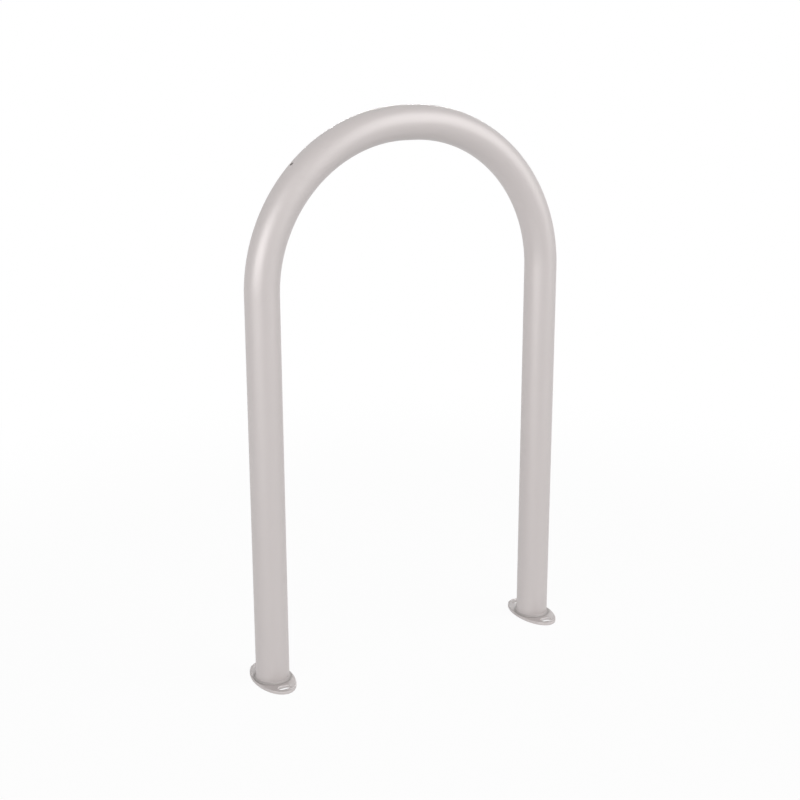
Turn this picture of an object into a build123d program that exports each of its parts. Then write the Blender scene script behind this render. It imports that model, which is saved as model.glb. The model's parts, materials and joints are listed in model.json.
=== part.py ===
from build123d import *
import os

# Surface-mounted hoop bike rack: one bent steel tube, welded upright on two
# oval base flanges.  Sizes are in millimetres.  +Z is up, +X runs from the
# left leg to the right leg, +Y crosses the hoop, and the origin is on the
# ground, midway between the legs.

# Hoop
tube_od = 50.8
tube_wall = 3.0
leg_spacing = 480.0  # between the two leg centrelines
leg_length = 589.0  # straight stretch, from the flange to the bend
top_straight = 14.0  # short straight between the two bends
vent_hole_d = 6.0  # lets air out of the closed tube while it is coated
vent_turn = 45.0  # degrees round the left bend, from the leg

# Fillet weld round the foot of each leg
weld_leg = 2.5
weld_crown = 0.25  # how far the weld face bulges past a straight one

# Base flanges
flange_thickness = 4.76
flange_weld_margin = 2.1  # beside the weld, at the flange's narrowest
flange_edge_radius = 1.0  # eased upper rim
slot_width = 11.0  # for a 3/8 in or 10 mm anchor
slot_length = 20.0
slot_weld_gap = 8.1  # from the weld to the slot
slot_end_margin = 8.0  # from the slot to the flange's far end
slot_rim_chamfer = 0.4
drain_hole_d = 10.0  # in the flange, under the open end of the tube

tube_r = tube_od / 2
leg_x = leg_spacing / 2
bend_radius = (leg_spacing - top_straight) / 2  # of the tube's centreline
bend_height = flange_thickness + leg_length
crown_height = bend_height + bend_radius
slot_offset = tube_r + weld_leg + slot_weld_gap + slot_width / 2
flange_half_width = tube_r + weld_leg + flange_weld_margin
flange_half_length = slot_offset + slot_width / 2 + slot_end_margin

os.makedirs("parts", exist_ok=True)

# The hoop: one tube along a leg, a quarter bend, the crown and back down
with BuildPart() as hoop_tube:
    with BuildLine(Plane.XZ):
        FilletPolyline(
            (-leg_x, flange_thickness),
            (-leg_x, crown_height),
            (leg_x, crown_height),
            (leg_x, flange_thickness),
            radius=bend_radius,
        )
    with BuildSketch(Plane((-leg_x, 0, flange_thickness))):
        Circle(tube_r)
        Circle(tube_r - tube_wall, mode=Mode.SUBTRACT)
    sweep()
    bend_centre = Vector(-top_straight / 2, 0, bend_height)
    outward = Vector(-1, 0, 0).rotate(Axis.Y, vent_turn)
    mid_wall = bend_centre + outward * (bend_radius + tube_r - tube_wall / 2)
    with BuildSketch(Plane(mid_wall, z_dir=outward)):
        Circle(vent_hole_d / 2)
    extrude(amount=tube_wall, both=True, mode=Mode.SUBTRACT)

hoop_tube.part.label = "hoop_tube"
export_step(hoop_tube.part, "parts/hoop_tube.step")

for side, foot_x in (("left", -leg_x), ("right", leg_x)):
    # Oval plate that carries the leg, with an anchor slot at each end
    with BuildPart() as base_flange:
        with BuildSketch(Plane((foot_x, 0, 0))):
            Ellipse(flange_half_width, flange_half_length)
            with Locations((0, slot_offset), (0, -slot_offset)):
                SlotOverall(slot_length, slot_width, mode=Mode.SUBTRACT)
            Circle(drain_hole_d / 2, mode=Mode.SUBTRACT)
        extrude(amount=flange_thickness)
        top_face = base_flange.faces().sort_by(Axis.Z)[-1]
        fillet(top_face.outer_wire().edges(), radius=flange_edge_radius)
        slot_rims = (
            base_flange.faces()
            .sort_by(Axis.Z)[-1]
            .inner_wires()
            .sort_by(SortBy.LENGTH)[-2:]
        )
        chamfer(slot_rims.edges(), length=slot_rim_chamfer)

    base_flange.part.label = f"base_flange_{side}"
    export_step(base_flange.part, f"parts/base_flange_{side}.step")

    # Convex fillet weld in the corner between the tube and the flange
    with BuildPart() as weld_bead:
        with BuildSketch(Plane.XZ):
            with BuildLine():
                corner = (foot_x + tube_r, flange_thickness)
                toe = (foot_x + tube_r + weld_leg, flange_thickness)
                crest = (foot_x + tube_r, flange_thickness + weld_leg)
                Line(corner, toe)
                SagittaArc(toe, crest, -weld_crown)
                Line(crest, corner)
            make_face()
        revolve(axis=Axis((foot_x, 0, 0), (0, 0, 1)))

    weld_bead.part.label = f"weld_bead_{side}"
    export_step(weld_bead.part, f"parts/weld_bead_{side}.step")
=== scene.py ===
import json
import math
import bmesh
import bpy
from mathutils import Matrix, Vector


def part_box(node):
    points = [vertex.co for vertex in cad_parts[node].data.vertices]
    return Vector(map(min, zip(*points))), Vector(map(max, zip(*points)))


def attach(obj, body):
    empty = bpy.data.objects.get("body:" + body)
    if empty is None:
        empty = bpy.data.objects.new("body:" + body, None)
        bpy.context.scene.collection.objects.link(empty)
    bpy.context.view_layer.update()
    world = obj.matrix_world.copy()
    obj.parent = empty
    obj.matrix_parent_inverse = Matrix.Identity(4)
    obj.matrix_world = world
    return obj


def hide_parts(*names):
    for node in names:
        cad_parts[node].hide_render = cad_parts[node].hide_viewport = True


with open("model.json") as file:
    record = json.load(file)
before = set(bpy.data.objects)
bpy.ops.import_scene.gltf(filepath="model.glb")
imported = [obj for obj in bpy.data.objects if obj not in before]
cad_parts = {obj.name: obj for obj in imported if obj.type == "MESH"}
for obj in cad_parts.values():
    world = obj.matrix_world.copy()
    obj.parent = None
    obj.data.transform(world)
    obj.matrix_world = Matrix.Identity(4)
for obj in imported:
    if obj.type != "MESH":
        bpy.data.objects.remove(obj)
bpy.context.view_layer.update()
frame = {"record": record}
mm = 0.001
quarterTurn = math.pi / 2
sharpTurn = 1.0  # faces that meet at a larger angle, in radians, keep a sharp edge

# Where the legs stand and the anchor slots lie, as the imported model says
slotPattern = next(m["dims"] for m in frame["record"]["mounts"] if m["name"] == "anchor_slots")
legX = slotPattern["spacing_x_mm"] / 2 * mm
slotY = slotPattern["spacing_y_mm"] / 2 * mm
slotRadius = slotPattern["hole_r_mm"] * mm
slotStraight = slotPattern["slot_length_mm"] / 2 * mm - slotRadius  # half of its straight stretch
hoopLow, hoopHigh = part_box("hoop_tube")
flangeTop = hoopLow.z
tubeRadius = hoopHigh.x - legX
feet = {"left": -legX, "right": legX}
print(f"frame loaded: legs {2 * legX:.4f} apart, tube radius {tubeRadius:.5f}, top {hoopHigh.z:.5f}")


class Wire:  # an output socket that takes part in Python sums
    def __init__(self, graph, socket):
        self.graph = graph
        self.socket = socket

    def __add__(self, other):
        return self.graph.maths("ADD", self, other)

    def __radd__(self, other):
        return self.graph.maths("ADD", other, self)

    def __sub__(self, other):
        return self.graph.maths("SUBTRACT", self, other)

    def __rsub__(self, other):
        return self.graph.maths("SUBTRACT", other, self)

    def __mul__(self, other):
        return self.graph.maths("MULTIPLY", self, other)

    def __rmul__(self, other):
        return self.graph.maths("MULTIPLY", other, self)

    def __truediv__(self, other):
        return self.graph.maths("DIVIDE", self, other)

    def __rtruediv__(self, other):
        return self.graph.maths("DIVIDE", other, self)

    def __pow__(self, other):
        return self.graph.maths("POWER", self, other)


class Graph:  # a node tree that is filled by calls
    def __init__(self, tree):
        self.tree = tree

    def add(self, kind, settings=None, sockets=None, out=0):
        made = self.tree.nodes.new(kind)
        for name, value in (settings or {}).items():
            setattr(made, name, value)
        for key, value in (sockets or {}).items():
            self.feed(self.pick(made.inputs, key), value)
        return Wire(self, self.pick(made.outputs, out)) if made.outputs else None

    def pick(self, sockets, key):  # by name, or by place among the sockets in use
        live = [s for s in sockets if s.enabled]
        return live[key] if isinstance(key, int) else next(s for s in live if s.name == key)

    def feed(self, socket, value):  # a list goes to a socket that takes several links
        for item in value if isinstance(value, list) else [value]:
            if isinstance(item, Wire):
                self.tree.links.new(item.socket, socket)
            else:
                socket.default_value = item

    def maths(self, operation, *terms):
        return self.add("ShaderNodeMath", {"operation": operation}, dict(enumerate(terms)))

    def step(self, value, low, high):  # 0 below low, 1 above high, smooth between
        return self.add(
            "ShaderNodeMapRange",
            {"interpolation_type": "SMOOTHSTEP"},
            {"Value": value, "From Min": low, "From Max": high},
        )

    def axes(self, vector):
        split = self.add("ShaderNodeSeparateXYZ", None, {"Vector": vector}).socket.node
        return [Wire(self, socket) for socket in split.outputs]

    def point(self, x, y, z):
        return self.add("ShaderNodeCombineXYZ", None, {"X": x, "Y": y, "Z": z})

    def length(self, across, along):
        return self.maths("SQRT", across * across + along * along)

    def blend(self, share, first, second):
        colours = {"Factor": share, "A": first, "B": second}
        return self.add("ShaderNodeMix", {"data_type": "RGBA"}, colours)

    def noise(self, vector, scale, detail):  # half above 0 and half below
        sizes = {"Vector": vector, "Scale": scale, "Detail": detail}
        return self.add("ShaderNodeTexNoise", None, sizes) - 0.5

    def seenAsBackground(self):  # 1 where a surface or the sky is looked at, not lit by
        rays = self.add("ShaderNodeLightPath").socket.node.outputs
        kinds = ("Is Camera Ray", "Is Glossy Ray", "Is Transmission Ray")
        camera, glossy, through = [Wire(self, rays[kind]) for kind in kinds]
        return self.maths("MINIMUM", camera + glossy + through, 1.0)

    def inputs(self, kinds):  # named inputs of a geometry tree
        for name, kind in kinds.items():
            self.tree.interface.new_socket(name, in_out="INPUT", socket_type="NodeSocket" + kind)
        node = self.tree.nodes.new("NodeGroupInput")
        return {name: Wire(self, node.outputs[name]) for name in kinds}

    def finish(self, parts, reach, material):  # every geometry tree ends the same way
        joined = {"Geometry": parts, "Distance": reach}
        closed = self.add("GeometryNodeMergeByDistance", None, joined)
        smooth = self.add("GeometryNodeSetShadeSmooth", None, {"Geometry": closed})
        edgeTurn = self.add("GeometryNodeInputMeshEdgeAngle")
        corner = self.maths("GREATER_THAN", edgeTurn, sharpTurn)
        sharp = {"Geometry": smooth, "Selection": corner, "Shade Smooth": False}
        creased = self.add("GeometryNodeSetShadeSmooth", {"domain": "EDGE"}, sharp)
        real = self.add("GeometryNodeRealizeInstances", None, {"Geometry": creased})
        coated = self.add("GeometryNodeSetMaterial", None, {"Geometry": real, "Material": material})
        self.tree.interface.new_socket("Geometry", in_out="OUTPUT", socket_type="NodeSocketGeometry")
        self.add("NodeGroupOutput", None, {"Geometry": coated})
        return self.tree


def growPiece(name, startMesh, tree, values):
    piece = bpy.data.objects.new(name, startMesh)
    bpy.context.collection.objects.link(piece)
    grower = piece.modifiers.new(tree.name, "NODES")
    grower.node_group = tree
    for socket in tree.interface.items_tree:
        if socket.in_out == "INPUT" and socket.name in values:
            grower[socket.identifier] = values[socket.name]
    evaluated = piece.evaluated_get(bpy.context.evaluated_depsgraph_get())
    grown = bpy.data.meshes.new_from_object(evaluated)
    piece.modifiers.remove(grower)
    while len(grown.materials) > 1:  # the empty slot of the mesh that it grew from
        grown.materials.pop(index=0)
    for face in grown.polygons:
        face.material_index = 0
    piece.data = grown
    return piece


def keepPiece(piece, node):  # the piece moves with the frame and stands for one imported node
    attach(piece, "root")
    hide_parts(node)


# Satin powder coat over steel
coat = {
    "colour": (0.535, 0.493, 0.485, 1.0),
    "roughness": 0.41,
    "metal": 0.12,  # share of fine metallic pigment
    "shine": 1.0,  # a glossy resin, with twice the usual mirror share
    "peel": (520.0, 2.0),  # scale and detail of its orange peel, about 2 mm from crest to crest
    "peelDepth": 0.1 * mm,
    "grain": (2600.0, 1.0),  # scale and detail of its finest unevenness
    "grainShare": 0.15,  # of the depth; the peel has the rest
    "grainRoughness": 0.08,
    "clouds": (7.0, 3.0),  # scale and detail of its slow changes of tone
    "cloudAmount": 0.03,
    "paintedShadeColour": (0.35, 0.325, 0.315, 1.0),  # painted shade: darker in the corner round each weld
    "footRoughness": 0.2,
    "paintedShadeOnTube": 0.25,  # how far the foot of the tube takes on that painted shade
    "footRise": 13 * mm,  # how far the painted shade reaches up the tube
    "footSpread": (2.5 * mm, 7 * mm),  # it fades between these distances from the tube
    "paintedShadeAtToe": 0.7,  # how much more of the painted shade the toe of the weld and the plate take on
    "toeReach": 1.2 * mm,  # from the tube, where they start
    "paintedSlotLight": (0.66, 0.62, 0.61, 1.0),  # painted light: paler on the walls of the anchor slots
    "slotFade": (0.2 * mm, 0.7 * mm),
}


def coatMaterial(name):
    material = bpy.data.materials.new(name)
    material.use_nodes = True
    graph = Graph(material.node_tree)
    shader = material.node_tree.nodes["Principled BSDF"]
    shader.inputs["Metallic"].default_value = coat["metal"]
    shader.inputs["Specular IOR Level"].default_value = coat["shine"]
    place = graph.add("ShaderNodeTexCoord", out="Object")
    peel = graph.noise(place, *coat["peel"])
    grain = graph.noise(place, *coat["grain"])
    clouds = graph.noise(place, *coat["clouds"])

    x, y, z = graph.axes(place)
    beside = graph.maths("ABSOLUTE", x) - legX  # from the middle of the nearer foot
    fromTube = graph.length(beside, y) - tubeRadius
    # painted shade: the coat darkens round the foot of each leg, most at the toe of the weld and on
    # the plate beside it
    near = 1 - graph.step(fromTube, *coat["footSpread"])
    high = graph.step(z, flangeTop, flangeTop + coat["footRise"])
    low = graph.step(z, 0, flangeTop) * (1 - high)
    toe = graph.step(fromTube, 0, coat["toeReach"])
    paintedShadeMask = near * low * (coat["paintedShadeOnTube"] + toe * coat["paintedShadeAtToe"])

    # painted light: the walls of the anchor slots are made paler
    pastEnd = graph.maths("MAXIMUM", graph.maths("ABSOLUTE", beside) - slotStraight, 0.0)
    offLine = graph.maths("ABSOLUTE", y) - slotY
    fromSlot = graph.length(pastEnd, offLine) - slotRadius
    slotLightShare = 1 - graph.step(fromSlot, *coat["slotFade"])

    # the painted light on the slot walls, then the painted shade round each weld
    tint = graph.blend(slotLightShare, coat["colour"], coat["paintedSlotLight"])
    tint = graph.blend(paintedShadeMask, tint, coat["paintedShadeColour"])
    tone = 1 + clouds * coat["cloudAmount"]
    colour = graph.add("ShaderNodeVectorMath", {"operation": "SCALE"}, {0: tint, "Scale": tone})
    roughness = coat["roughness"] + grain * coat["grainRoughness"] + paintedShadeMask * coat["footRoughness"]
    height = peel * (1 - coat["grainShare"]) + grain * coat["grainShare"]
    bump = graph.add("ShaderNodeBump", None, {"Height": height, "Distance": coat["peelDepth"]})
    graph.feed(shader.inputs["Base Color"], colour)
    graph.feed(shader.inputs["Roughness"], roughness)
    graph.feed(shader.inputs["Normal"], bump)
    return material


powderCoat = coatMaterial("powderCoat")
print("powder coat made")

# The bent tube
hoop = {
    "topStraight": 14 * mm,  # between the two bends
    "wall": 3 * mm,
    "bendSteps": 128,  # rings in each quarter bend
    "roundSteps": 96,  # sides round the tube
    "joinReach": 0.01 * mm,  # points nearer than this become one
    "ventRadius": 3 * mm,
    "ventRim": 0.5 * mm,  # rounding where the coat wraps over the hole's edge
    "ventRimSteps": 4,
    "ventTurn": math.radians(45),  # round the left bend, from the leg
    "ventReach": (3, 5),  # rings and sides each way that the hole's collar takes up
    "ventShares": (0.35, 0.7, 1.0),  # how far in each ring of the collar lies
    "ventSlack": 0.2 * mm,  # more than the middle of a flat face lies off the round skin
    "ventSeam": 0.05,  # turn that keeps a ring's first point away from the jump in bearing
}
bendRadius = legX - hoop["topStraight"] / 2
boreRadius = tubeRadius - hoop["wall"]
centreTop = hoopHigh.z - tubeRadius
bendCentre = Vector((-hoop["topStraight"] / 2, 0, centreTop - bendRadius))  # of the left bend
ventOut = Vector((-math.cos(hoop["ventTurn"]), 0, math.sin(hoop["ventTurn"])))  # drilled this way
ventAlong = Vector((math.sin(hoop["ventTurn"]), 0, math.cos(hoop["ventTurn"])))  # on round the bend


def hoopTree():
    graph = Graph(bpy.data.node_groups.new("hoopSweep", "GeometryNodeTree"))
    given = graph.inputs(
        {
            "Geometry": "Geometry",
            "Bend Radius": "Float",
            "Bend Steps": "Int",
            "Tube Radius": "Float",
            "Bore Radius": "Float",
            "Round Steps": "Int",
            "Foot Height": "Float",
            "Foot Spread": "Float",
            "Join Reach": "Float",
            "Coat": "Material",
        }
    )
    route = graph.add("GeometryNodeMeshToCurve", None, {"Mesh": given["Geometry"]})
    bent = graph.add(
        "GeometryNodeFilletCurve",
        {"mode": "POLY"},
        {"Curve": route, "Count": given["Bend Steps"], "Radius": given["Bend Radius"]},
    )
    rounds = [
        graph.add(
            "GeometryNodeCurvePrimitiveCircle",
            None,
            {"Resolution": given["Round Steps"], "Radius": given[radius]},
        )
        for radius in ("Tube Radius", "Bore Radius")
    ]
    skin, bore = [
        graph.add("GeometryNodeCurveToMesh", None, {"Curve": bent, "Profile Curve": profile})
        for profile in rounds
    ]
    pair = graph.add("GeometryNodeJoinGeometry", None, {"Geometry": rounds})
    cutEnd = graph.add("GeometryNodeFillCurve", None, {"Curve": pair})
    ends = []
    for side in (-1, 1):
        place = graph.point(given["Foot Spread"] * side, 0.0, given["Foot Height"])
        moved = {"Geometry": cutEnd, "Translation": place}
        ends.append(graph.add("GeometryNodeTransform", None, moved))
    whole = graph.add("GeometryNodeJoinGeometry", None, {"Geometry": [skin, bore, *ends]})
    return graph.finish(whole, given["Join Reach"], given["Coat"])


def makeHoop():
    corners = [
        (-legX, 0, flangeTop),
        (-legX, 0, centreTop),
        (legX, 0, centreTop),
        (legX, 0, flangeTop),
    ]
    start = bpy.data.meshes.new("hoopRoute")
    start.from_pydata(corners, [(0, 1), (1, 2), (2, 3)], [])
    values = {
        "Bend Radius": bendRadius,
        "Bend Steps": hoop["bendSteps"],
        "Tube Radius": tubeRadius,
        "Bore Radius": boreRadius,
        "Round Steps": hoop["roundSteps"],
        "Foot Height": flangeTop,
        "Foot Spread": legX,
        "Join Reach": hoop["joinReach"],
        "Coat": powderCoat,
    }
    return growPiece("hoopTube", start, hoopTree(), values)


def bridge(shape, first, second):  # a band of faces between two rings of points
    count = len(first)
    for i in range(count):
        j = (i + 1) % count
        shape.faces.new((first[i], first[j], second[j], second[i])).smooth = True


def seenFlat(point):  # along and across the bend, looking down the drill
    return (point - bendCentre).dot(ventAlong), point.y


def onSkin(along, across, radius, sunk=0.0):  # the point of the bend that is seen there
    swing = math.asin(across / radius)
    reach = bendRadius + radius * math.cos(swing)
    rise = math.sqrt(reach * reach - along * along) - sunk
    return bendCentre + ventAlong * along + ventOut * rise + Vector((0, across, 0))


def openSkin(shape, radius):  # takes the faces round the hole away, and gives the loop they leave
    ringReach, sideReach = hoop["ventReach"]
    widest = ringReach * quarterTurn / hoop["bendSteps"], sideReach * math.tau / hoop["roundSteps"]
    doomed = []
    for face in shape.faces:
        middle = face.calc_center_median() - bendCentre
        along, rise = middle.dot(ventAlong), middle.dot(ventOut)
        reach = math.hypot(along, rise) - bendRadius
        turns = math.atan2(along, rise), math.atan2(middle.y, reach)
        offSkin = abs(math.hypot(middle.y, reach) - radius)
        if offSkin < hoop["ventSlack"] and all(abs(t) < w for t, w in zip(turns, widest)):
            doomed.append(face)
    rim = {v for face in doomed for v in face.verts}
    bmesh.ops.delete(shape, geom=doomed, context="FACES")
    loop = [v for v in rim if v.is_valid and any(len(e.link_faces) == 1 for e in v.link_edges)]

    def bearing(v):
        along, across = seenFlat(v.co)
        return (math.atan2(across, along) + hoop["ventSeam"]) % math.tau

    return sorted(loop, key=bearing)


def makeCollar(shape, radius, hole):  # rings from the opened skin in to the hole's edge
    loop = openSkin(shape, radius)
    flat = [seenFlat(v.co) for v in loop]
    turns = [math.atan2(across, along) for along, across in flat]
    rings = [loop]
    for share in hoop["ventShares"]:
        ring = []
        for (along, across), turn in zip(flat, turns):
            a = along + (hole * math.cos(turn) - along) * share
            b = across + (hole * math.sin(turn) - across) * share
            ring.append(shape.verts.new(onSkin(a, b, radius)))
        rings.append(ring)
    return rings, turns


def cutVentHole(piece):
    shape = bmesh.new()
    shape.from_mesh(piece.data)
    radius, rim, steps = hoop["ventRadius"], hoop["ventRim"], hoop["ventRimSteps"]
    rings, turns = makeCollar(shape, tubeRadius, radius + rim)
    inner, _ = makeCollar(shape, boreRadius, radius)
    for i in range(1, steps + 1):
        lean = quarterTurn * i / steps
        hole = radius + rim * (1 - math.sin(lean))
        sunk = rim * (1 - math.cos(lean))
        spots = [(hole * math.cos(turn), hole * math.sin(turn)) for turn in turns]
        rings.append([shape.verts.new(onSkin(*spot, tubeRadius, sunk)) for spot in spots])
    rings += inner[::-1]
    for first, second in zip(rings, rings[1:]):
        bridge(shape, first, second)
    bmesh.ops.recalc_face_normals(shape, faces=shape.faces)
    shape.to_mesh(piece.data)
    shape.free()


hoopPiece = makeHoop()
cutVentHole(hoopPiece)
keepPiece(hoopPiece, "hoop_tube")
print(f"hoop swept: {len(hoopPiece.data.polygons)} faces")

# The oval base plates
flange = {
    "halfWidth": 30 * mm,
    "halfLength": 55 * mm,
    "rim": 1.0 * mm,  # rounding of the upper edge
    "slotRim": 0.5 * mm,
    "rimSteps": 4,
    "footRim": 0.3 * mm,  # rounding of the edge on the ground
    "footRimMiddle": 0.3,  # how far in the middle of that rounding lies, as a share of it
    "guard": 0.4 * mm,  # flat band inside a rounding, so the top shades flat
    "drainRadius": 5 * mm,
    "outlineSteps": 192,
    "slotSteps": 32,
}


def ovalOutline(inset):  # points of the plate's outline, moved inwards
    halfWidth, halfLength = flange["halfWidth"], flange["halfLength"]
    places = []
    for i in range(flange["outlineSteps"]):
        turn = math.tau * i / flange["outlineSteps"]
        outward = Vector((math.cos(turn) / halfWidth, math.sin(turn) / halfLength)).normalized()
        edge = Vector((halfWidth * math.cos(turn), halfLength * math.sin(turn)))
        places.append(edge - outward * inset)
    return places


def slotOutline(side):
    def outline(inset):
        reach = slotRadius - inset
        places = []
        for i in range(flange["slotSteps"]):
            turn = math.tau * (i + 0.5) / flange["slotSteps"]
            end = math.copysign(slotStraight, math.cos(turn))
            across, along = reach * math.cos(turn), reach * math.sin(turn)
            places.append(Vector((end + across, side * slotY + along)))
        return places

    return outline


def drainOutline(inset):
    reach = flange["drainRadius"] - inset
    turns = [math.tau * i / flange["slotSteps"] for i in range(flange["slotSteps"])]
    return [Vector((reach * math.cos(turn), reach * math.sin(turn))) for turn in turns]


def wallProfile(rim):  # inset and height of each loop, from the ground to the flat top
    foot, guard = flange["footRim"], flange["guard"]
    middle = flange["footRimMiddle"] * foot
    loops = [(foot + guard, 0), (foot, 0), (middle, middle), (0, foot)]
    for i in range(flange["rimSteps"] + 1):
        lean = quarterTurn * i / flange["rimSteps"]
        loops.append((rim * (1 - math.cos(lean)), flangeTop - rim * (1 - math.sin(lean))))
    loops.append((rim + guard, flangeTop))
    return loops


def makeFlange(name, footX):
    shape = bmesh.new()
    outlines = [(ovalOutline, 1, flange["rim"])]  # the way in to the metal, 1 or -1, comes second
    outlines += [(slotOutline(side), -1, flange["slotRim"]) for side in (-1, 1)]
    outlines += [(drainOutline, -1, flange["slotRim"])]
    lower, upper = [], []
    for outline, way, rim in outlines:
        rings = []
        for inset, height in wallProfile(rim):
            places = outline(inset * way)
            rings.append([shape.verts.new((footX + p.x, p.y, height)) for p in places])
        for first, second in zip(rings, rings[1:]):
            bridge(shape, first, second)
        lower.append(rings[0])
        upper.append(rings[-1])
    for level, way in ((lower, -1), (upper, 1)):
        pairs = [pair for ring in level for pair in zip(ring, ring[1:] + ring[:1])]
        edges = [shape.edges.get(pair) for pair in pairs]
        filled = bmesh.ops.triangle_fill(shape, use_beauty=True, edges=edges, normal=(0, 0, way))
        for face in filled["geom"]:
            if isinstance(face, bmesh.types.BMFace):
                face.smooth = True
    bmesh.ops.recalc_face_normals(shape, faces=shape.faces)
    mesh = bpy.data.meshes.new(name)
    shape.to_mesh(mesh)
    shape.free()
    mesh.materials.append(powderCoat)
    piece = bpy.data.objects.new(name, mesh)
    bpy.context.collection.objects.link(piece)
    return piece


for side, footX in feet.items():
    plate = makeFlange("baseFlange" + side.capitalize(), footX)
    keepPiece(plate, "base_flange_" + side)
print("base flanges made")

# The fillet weld round each leg
weld = {
    "leg": 2.5 * mm,
    "crown": 0.12 * mm,  # bulge of the weld's face, under its ripples
    "ripples": 92,
    "rippleHeight": 0.11 * mm,
    "rippleBow": 0.55,  # how far a ripple trails at the weld's edges
    "rippleStray": 0.9,  # how far ripples stray from an even spacing
    "ripplePower": 2.2,  # higher is flatter on top, with narrower grooves
    "rippleShares": (0.75, 1.2),  # plain and uneven share of the height
    "rippleNoise": (14.0, 1.0),  # scale and detail of that unevenness
    "wander": 0.2 * mm,  # unevenness of the weld's toe
    "wanderNoise": (5.0, 2.0),  # its scale and detail
    "lapTurn": {"left": 2.3, "right": 0.9},  # where the weld runs over its own start
    "lapEnd": 0.955,  # cosine of the turn from there at which the lap ends
    "lapGrowth": 0.11,  # more leg at the lap, as a share of the leg
    "lapCrown": 2,  # more bulge there, as a share of the crown
    "seedStep": 3.7,
    "stepsAround": 920,
    "stepsAcross": 18,
    "joinReach": 0.002 * mm,  # points nearer than this become one
}


def weldTree():
    graph = Graph(bpy.data.node_groups.new("weldBead", "GeometryNodeTree"))
    given = graph.inputs(
        {
            "Foot X": "Float",
            "Base Height": "Float",
            "Tube Radius": "Float",
            "Leg": "Float",
            "Crown": "Float",
            "Ripples": "Float",
            "Ripple Height": "Float",
            "Ripple Bow": "Float",
            "Wander": "Float",
            "Steps Around": "Int",
            "Steps Across": "Int",
            "Lap Turn": "Float",
            "Lap Growth": "Float",
            "Seed": "Float",
            "Join Reach": "Float",
            "Coat": "Material",
        }
    )
    around, across = given["Steps Around"], given["Steps Across"]
    counts = {"Vertices X": around + 1, "Vertices Y": across + 1}
    sheet = graph.add("GeometryNodeMeshGrid", None, {"Size X": 1.0, "Size Y": 1.0, **counts})
    u, v, _ = graph.axes(graph.add("GeometryNodeInputPosition"))  # both from -0.5 to 0.5
    turn = (u + 0.5) * math.tau
    cosine, sine = graph.maths("COSINE", turn), graph.maths("SINE", turn)
    circle = graph.point(cosine, sine, given["Seed"])
    wander = graph.noise(circle, *weld["wanderNoise"]) * 2
    uneven = graph.noise(circle, *weld["rippleNoise"])

    # the last two of the steps across run down the tube and back along the plate
    row = graph.maths("ROUND", (v + 0.5) * across)
    share = graph.maths("MINIMUM", row / (across - 2), 1.0)  # 0 at the toe, 1 on the tube
    slack = 0.1  # rows are whole numbers
    atCorner = graph.maths("COMPARE", row, across - 1, slack)
    atClose = graph.maths("COMPARE", row, across, slack)

    lap = graph.step(graph.maths("COSINE", turn - given["Lap Turn"]), weld["lapEnd"], 1.0)
    leg = given["Leg"] * (1 + lap * given["Lap Growth"]) + wander * given["Wander"]
    arch = share * (1 - share) * 4  # 0 at the weld's edges, 1 halfway
    trail = (1 - arch) * given["Ripple Bow"]
    phase = graph.maths("FRACT", (u + 0.5) * given["Ripples"] + trail + uneven * weld["rippleStray"])
    ridge = 1 - graph.maths("ABSOLUTE", phase * 2 - 1) ** weld["ripplePower"]
    plain, spread = weld["rippleShares"]
    ripple = ridge * (plain + uneven * spread) * given["Ripple Height"] * arch ** 0.5
    crown = arch * given["Crown"] * (1 + lap * weld["lapCrown"])
    bulge = (crown + ripple) * math.sqrt(0.5)  # the same share of it goes out and up
    outFromTube = leg * (1 - share) + bulge + leg * atClose
    up = (leg * share + bulge) * (1 - atCorner - atClose)
    reach = given["Tube Radius"] + outFromTube
    place = graph.point(
        cosine * reach + given["Foot X"], sine * reach, given["Base Height"] + up
    )
    bead = graph.add("GeometryNodeSetPosition", None, {"Geometry": sheet, "Position": place})
    return graph.finish(bead, given["Join Reach"], given["Coat"])


def makeWeld(side, footX, seed, tree):
    values = {
        "Foot X": footX,
        "Base Height": flangeTop,
        "Tube Radius": tubeRadius,
        "Leg": weld["leg"],
        "Crown": weld["crown"],
        "Ripples": float(weld["ripples"]),
        "Ripple Height": weld["rippleHeight"],
        "Ripple Bow": weld["rippleBow"],
        "Wander": weld["wander"],
        "Steps Around": weld["stepsAround"],
        "Steps Across": weld["stepsAcross"],
        "Lap Turn": weld["lapTurn"][side],
        "Lap Growth": weld["lapGrowth"],
        "Seed": seed * weld["seedStep"],
        "Join Reach": weld["joinReach"],
        "Coat": powderCoat,
    }
    name = "weldBead" + side.capitalize()
    return growPiece(name, bpy.data.meshes.new(name), tree, values)


beadTree = weldTree()
for seed, (side, footX) in enumerate(feet.items()):
    keepPiece(makeWeld(side, footX, seed, beadTree), "weld_bead_" + side)
print("weld beads made")

# Pale floor, seen as white but still taking the rack's shadow
floor = {
    "halfSize": 8.0,
    "colour": (0.9, 0.9, 0.9, 1.0),
    "whiteness": 0.95,  # near the rack; the rest of the floor is all white
    "shadowReach": (0.7, 1.6),  # it turns all white between these distances
}


def floorMaterial():
    material = bpy.data.materials.new("paleFloor")
    material.use_nodes = True
    graph = Graph(material.node_tree)
    material.node_tree.nodes.clear()
    x, y, _ = graph.axes(graph.add("ShaderNodeTexCoord", out="Object"))
    away = graph.step(graph.length(x, y), *floor["shadowReach"])
    whiteness = floor["whiteness"] + away * (1 - floor["whiteness"])
    matt = graph.add("ShaderNodeBsdfDiffuse", None, {"Color": floor["colour"]})
    white = graph.add("ShaderNodeEmission", None, {"Strength": 1.0})
    mix = {0: graph.seenAsBackground() * whiteness, 1: matt, 2: white}
    both = graph.add("ShaderNodeMixShader", None, mix)
    graph.add("ShaderNodeOutputMaterial", None, {"Surface": both})
    material.cycles.emission_sampling = "NONE"  # the white is only looked at
    return material


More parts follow.
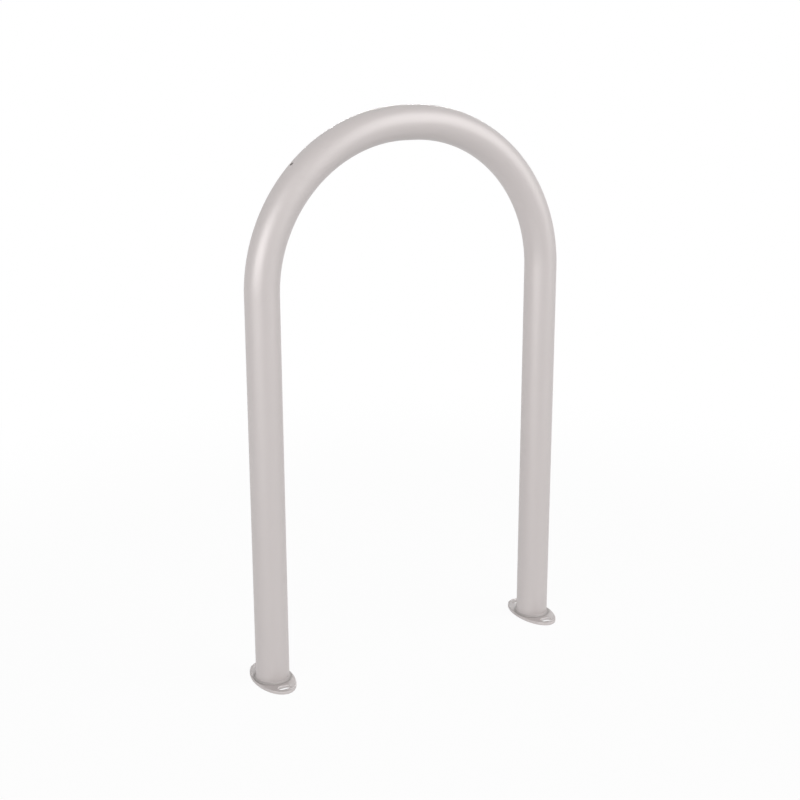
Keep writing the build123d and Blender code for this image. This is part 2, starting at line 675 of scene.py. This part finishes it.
def makeFloor():
    size = floor["halfSize"]
    mesh = bpy.data.meshes.new("floor")
    corners = [(-size, -size, 0), (size, -size, 0), (size, size, 0), (-size, size, 0)]
    mesh.from_pydata(corners, [], [(0, 1, 2, 3)])
    mesh.materials.append(floorMaterial())
    piece = bpy.data.objects.new("floor", mesh)
    bpy.context.collection.objects.link(piece)


makeFloor()

# White all round to the eye, plain soft light to the rack
world = {"strength": 0.295}


def makeWorld():
    sky = bpy.data.worlds.new("studio")
    bpy.context.scene.world = sky
    sky.use_nodes = True
    sky.node_tree.nodes.clear()
    graph = Graph(sky.node_tree)
    strength = world["strength"] + graph.seenAsBackground() * (1 - world["strength"])
    colours = {"Color": (1, 1, 1, 1), "Strength": strength}
    light = graph.add("ShaderNodeBackground", None, colours)
    graph.add("ShaderNodeOutputWorld", None, {"Surface": light})


makeWorld()

# Big soft lights from far away, so that they light the legs evenly down to the feet
lamps = {
    "right": {"bearing": 44, "height": 25, "spread": 60, "strength": 1.52},
    "rightHigh": {"bearing": 44, "height": 35, "spread": 40, "strength": 0.13},
    "left": {"bearing": -59, "height": 1, "spread": 54, "strength": 2.62},
    "backLeft": {"bearing": -157, "height": 45, "spread": 50, "strength": 0.09},
    "backLow": {"bearing": 151, "height": 1, "spread": 16, "strength": 1.48},
}


def towards(bearing, height):  # degrees round from the front and up from the ground
    a, e = math.radians(bearing), math.radians(height)
    return Vector((math.sin(a) * math.cos(e), -math.cos(a) * math.cos(e), math.sin(e)))


def makeLamps():
    for name, made in lamps.items():
        light = bpy.data.lights.new(name, "SUN")
        light.energy = made["strength"]
        light.angle = math.radians(made["spread"])
        lamp = bpy.data.objects.new(name, light)
        shines = -towards(made["bearing"], made["height"])
        lamp.rotation_euler = shines.to_track_quat("-Z", "Y").to_euler()
        bpy.context.collection.objects.link(lamp)


makeLamps()
print("floor, world and lamps set")

# Just above the rack's top, in front of it and to its left
camera = {
    "place": (-0.97219, -1.67757, 0.94787),
    "bearing": -29.1131,
    "height": 14.7147,
    "roll": -0.234,
    "pictureSize": 800,  # in pixels, as are the next two
    "focalLength": 1312.45,
    "centre": (387.41, 380.82),  # where the line of sight meets the picture
    "filmWidth": 36,  # in millimetres
}


def makeCamera():
    roll = math.radians(camera["roll"])
    back = towards(camera["bearing"], camera["height"])
    right = Vector((0, 0, 1)).cross(back).normalized()
    up = back.cross(right)
    across = right * math.cos(roll) + up * math.sin(roll)
    above = up * math.cos(roll) - right * math.sin(roll)
    lens = bpy.data.cameras.new("camera")
    size = camera["pictureSize"]
    centreX, centreY = camera["centre"]
    lens.lens = camera["filmWidth"] * camera["focalLength"] / size
    lens.shift_x = (size / 2 - centreX) / size
    lens.shift_y = (centreY - size / 2) / size
    eye = bpy.data.objects.new("camera", lens)
    turned = Matrix((across, above, back)).transposed().to_4x4()
    eye.matrix_world = Matrix.Translation(camera["place"]) @ turned
    bpy.context.collection.objects.link(eye)
    bpy.context.scene.camera = eye


makeCamera()
bpy.context.scene.view_settings.view_transform = "Standard"
